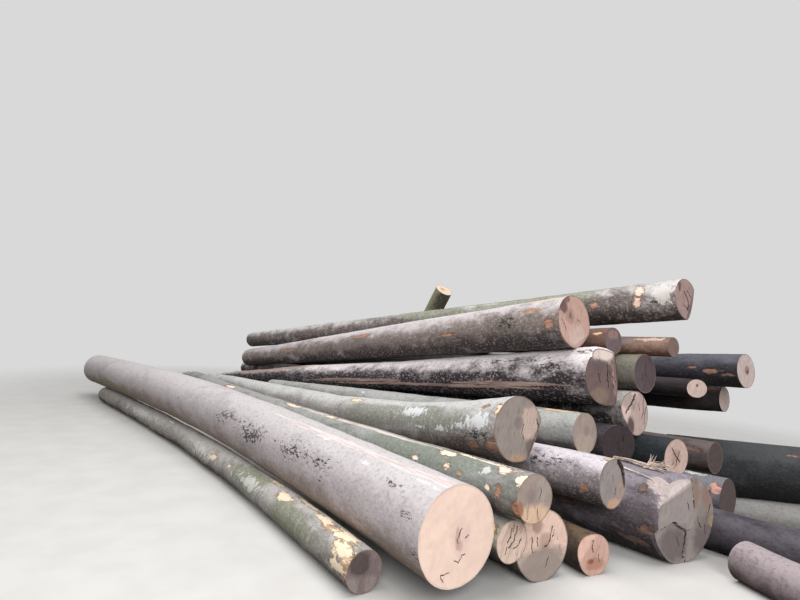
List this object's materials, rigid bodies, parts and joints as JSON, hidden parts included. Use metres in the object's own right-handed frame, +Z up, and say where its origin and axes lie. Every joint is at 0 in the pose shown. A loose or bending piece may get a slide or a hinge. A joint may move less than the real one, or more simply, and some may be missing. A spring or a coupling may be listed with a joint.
{
  "type": "stack of logs",
  "caption": "Roadside stack of beech roundwood: long logs with sawn butts lying roughly parallel in a loose heap, with shorter ones beside it.",
  "frame": {"origin": "centre of the stack's footprint, on the ground it lies on", "axes": "+Z up, +Y along the logs from their thick butts to their thin tips, +X from the low front of the stack to its back and the loose logs"},
  "size_m": [7.2325, 13.0122, 2.3145],
  "materials": {
    "grey_bark": "weathered grey bark, matt, with flakes and scratches",
    "green_bark": "grey-green bark with lichen flecks, matt",
    "mossy_bark": "bark overgrown with moss, matt",
    "pale_bark": "smooth pale grey-beige bark with mud flecks, matt",
    "brown_bark": "grey-brown bark with orange scraped patches, matt",
    "peeled_wood": "bare sapwood with remains of dark bark, matt",
    "plain_bark": "plain grey-brown bark, matt"
  },
  "bodies": {
    "root": {"blue_log": "brown_bark", "brown_log": "brown_bark", "bumpy_log": "grey_bark", "cracked_log": "grey_bark", "crook_log": "grey_bark", "dark_log": "grey_bark", "felled_log": "grey_bark", "fibre_log": "green_bark", "flared_log": "green_bark", "front_log": "pale_bark", "green_log": "green_bark", "grey_log": "green_bark", "hidden_log_1": "plain_bark", "hidden_log_2": "plain_bark", "hidden_log_3": "plain_bark", "hidden_log_4": "plain_bark", "hidden_log_5": "plain_bark", "hidden_log_6": "plain_bark", "hidden_log_7": "plain_bark", "hidden_log_8": "plain_bark", "knot_log": "green_bark", "leaning_log": "grey_bark", "mossy_log": "mossy_bark", "pale_log": "green_bark", "peeled_log": "peeled_wood", "pillow_log": "grey_bark", "pink_log": "pale_bark", "propped_log": "grey_bark", "red_log": "brown_bark", "shelf_log": "pale_bark", "short_log": "mossy_bark", "smooth_log": "green_bark", "stripped_log": "peeled_wood", "stub_log": "green_bark", "thick_log": "green_bark", "top_log": "brown_bark", "torn_log": "green_bark"}
  },
  "joints": []
}
